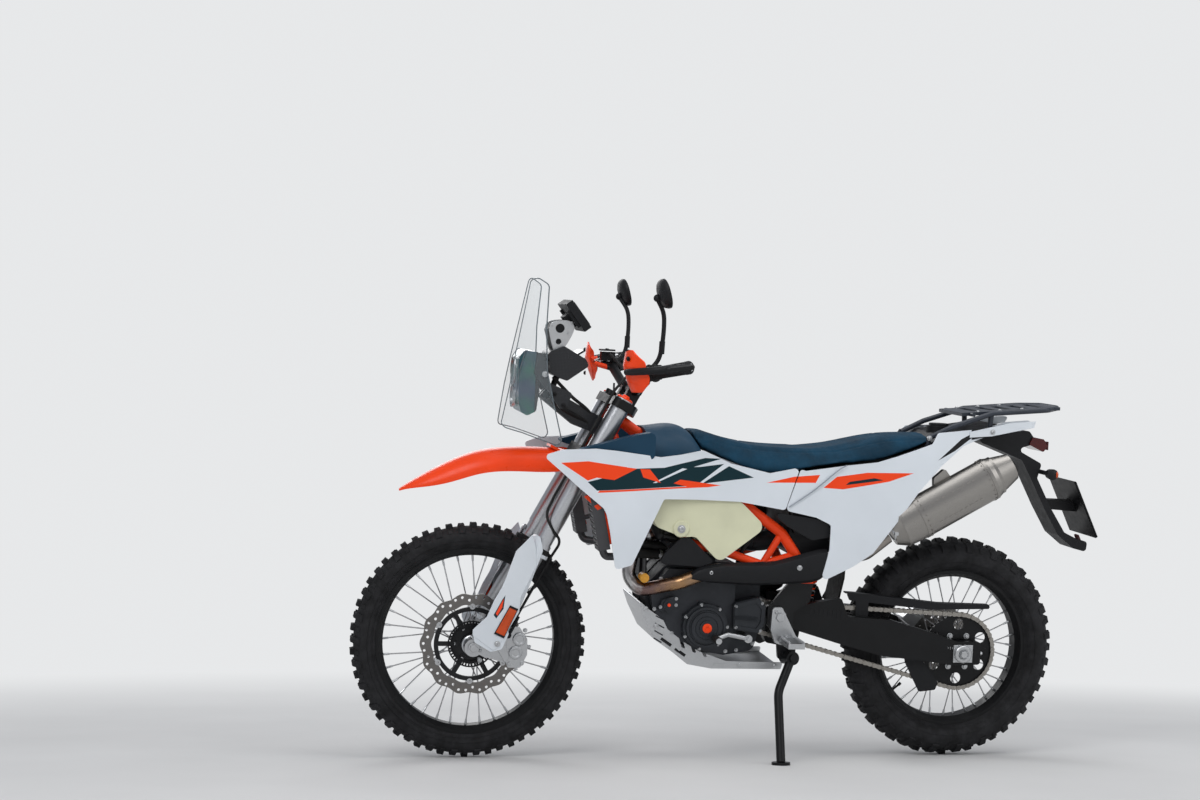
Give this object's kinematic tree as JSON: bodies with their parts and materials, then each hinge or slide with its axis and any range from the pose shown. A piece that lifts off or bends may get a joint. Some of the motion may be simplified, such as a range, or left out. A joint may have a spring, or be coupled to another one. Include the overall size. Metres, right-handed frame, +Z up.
{
  "type": "dual sport motorcycle",
  "caption": "Tall dual sport motorcycle in rally trim with spoked wheels, clear screen, twin tanks and high muffler, leaning on its side stand.",
  "frame": {"origin": "on the ground below the middle of the bounding box", "axes": "+X forward, +Y to the rider's left, +Z up; the machine leans to its left on its stand"},
  "size_m": [2.288, 0.8552, 1.4644],
  "materials": {
    "orange_frame": "semi-gloss paint",
    "engine_cast": "dark grey cast",
    "engine_cover": "satin black",
    "radiator": "finned",
    "tank_cream": "translucent moulded",
    "navy_cover": "sewn",
    "white_panel": "white with graphics",
    "black_plastic": "grained",
    "navy_seat": "ribbed and sewn",
    "header_steel": "heat tinted",
    "carbon_grey": "dark weave",
    "muffler_metal": "brushed",
    "skid_aluminium": "brushed",
    "black_metal": "satin black",
    "chain_steel": "oiled",
    "blank_plate": "blank white",
    "tail_lens": "red lens",
    "peg_alloy": "machined",
    "clear_screen": "clear",
    "lamp": "dark housing, bright lenses",
    "caliper_alloy": "cast",
    "fork_silver": "anodised silver",
    "slider_steel": "polished",
    "guard_white": "white",
    "orange_plastic": "bright red-orange",
    "grip_rubber": "ribbed",
    "mirror_black": "black shell",
    "hose_rubber": "matt",
    "tyre_rubber": "block tread",
    "rim_black": "anodised black",
    "hub_metal": "black hub, bright spokes",
    "disc_steel": "ground"
  },
  "bodies": {
    "chassis": {"frame": "orange_frame", "engine": "engine_cast", "engine_covers": "engine_cover", "radiators": "radiator", "front_tank": "tank_cream", "tank_cover": "navy_cover", "shrouds": "white_panel", "side_panels": "white_panel", "inner_covers": "black_plastic", "seat": "navy_seat", "rear_tank": "black_plastic", "fuel_cap": "black_plastic", "header_pipe": "header_steel", "heat_shield": "carbon_grey", "muffler": "muffler_metal", "skid_plate": "skid_aluminium", "swingarm": "black_metal", "chain": "chain_steel", "chain_guards": "black_plastic", "shock": "black_metal", "plate_carrier": "black_plastic", "number_plate": "blank_plate", "tail_light": "tail_lens", "luggage_rack": "black_metal", "footpegs": "peg_alloy", "foot_controls": "peg_alloy", "rally_tower": "carbon_grey", "windscreen": "clear_screen", "headlight": "lamp", "nav_mount": "peg_alloy", "rear_caliper": "caliper_alloy"},
    "steering": {"triple_clamps": "black_metal", "fork_tubes": "fork_silver", "fork_sliders": "slider_steel", "fork_guards": "guard_white", "front_fender": "orange_plastic", "handlebar": "black_metal", "grips": "grip_rubber", "handguards": "orange_plastic", "control_levers": "black_metal", "mirrors": "mirror_black", "front_caliper": "caliper_alloy", "brake_hose": "hose_rubber"},
    "front_wheel": {"front_tyre": "tyre_rubber", "front_rim": "rim_black", "front_hub": "hub_metal", "front_disc": "disc_steel"},
    "rear_wheel": {"rear_tyre": "tyre_rubber", "rear_rim": "rim_black", "rear_hub": "hub_metal", "rear_sprocket": "black_metal", "rear_disc": "disc_steel"},
    "side_stand": {"side_stand": "black_metal"}
  },
  "joints": [
    {"name": "steering", "type": "hinge", "parent": "chassis", "child": "steering", "pos_m": [0.40532, -0.036, 0.9629], "axis": [-0.4648, 0.1492, 0.8727], "range_deg": [-42, 42]},
    {"name": "front_wheel_spin", "type": "hinge", "parent": "steering", "child": "front_wheel", "pos_m": [0.79568, -0.14134, 0.34664], "axis": [0, 0.9857, -0.1685], "continuous": true},
    {"name": "rear_wheel_spin", "type": "hinge", "parent": "chassis", "child": "rear_wheel", "pos_m": [-0.70432, -0.14263, 0.33907], "axis": [0, 0.9857, -0.1685], "continuous": true},
    {"name": "side_stand_fold", "type": "hinge", "parent": "chassis", "child": "side_stand", "pos_m": [-0.14332, 0.01159, 0.30359], "axis": [-0.1672, 0.9857, -0.0185], "range_deg": [0, 92]}
  ]
}
